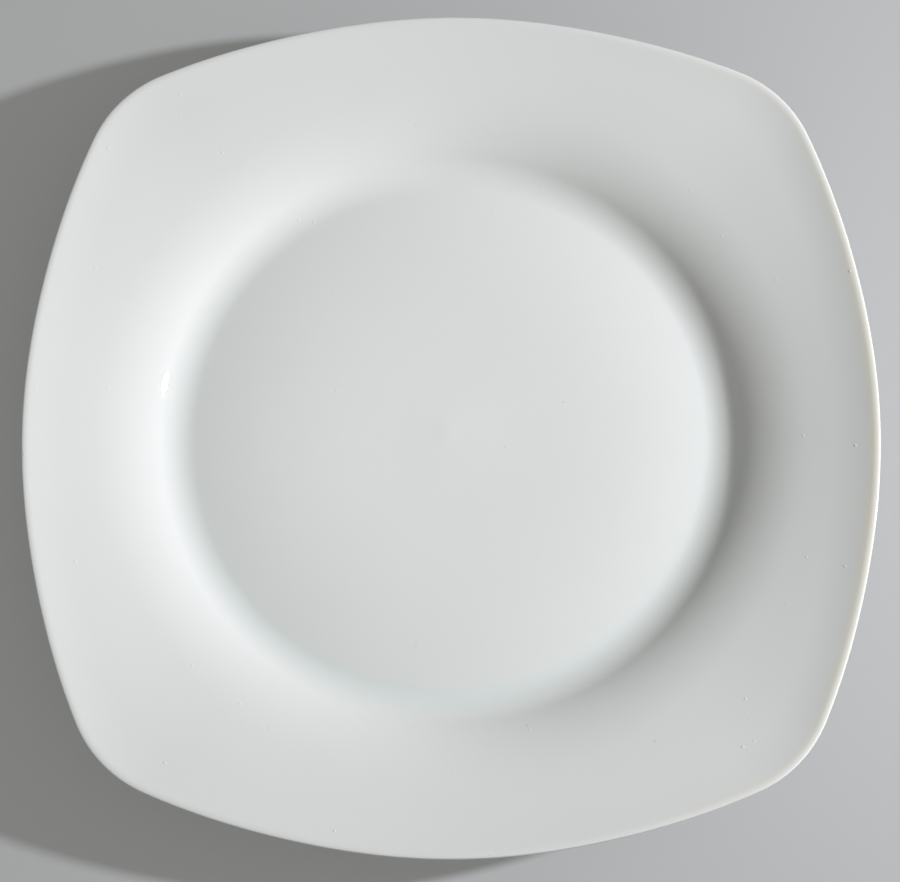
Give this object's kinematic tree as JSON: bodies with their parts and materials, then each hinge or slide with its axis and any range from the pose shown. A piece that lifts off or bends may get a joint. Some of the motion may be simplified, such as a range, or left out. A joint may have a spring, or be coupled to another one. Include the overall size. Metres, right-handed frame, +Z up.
{
  "type": "square salad plate",
  "caption": "Soft-square white porcelain plate with a round well, a wide sloping rim and a foot ring, for serving salad or a starter.",
  "frame": {"origin": "middle of the plane that the foot ring stands on", "axes": "+Z up out of the well, +X and +Y through the middles of two sides"},
  "size_m": [0.21, 0.21, 0.0229],
  "materials": {
    "glazed_porcelain": "white porcelain under a clear glossy glaze, bare and matt on the standing face of the foot ring"
  },
  "bodies": {
    "root": {"plate": "glazed_porcelain"}
  },
  "joints": []
}
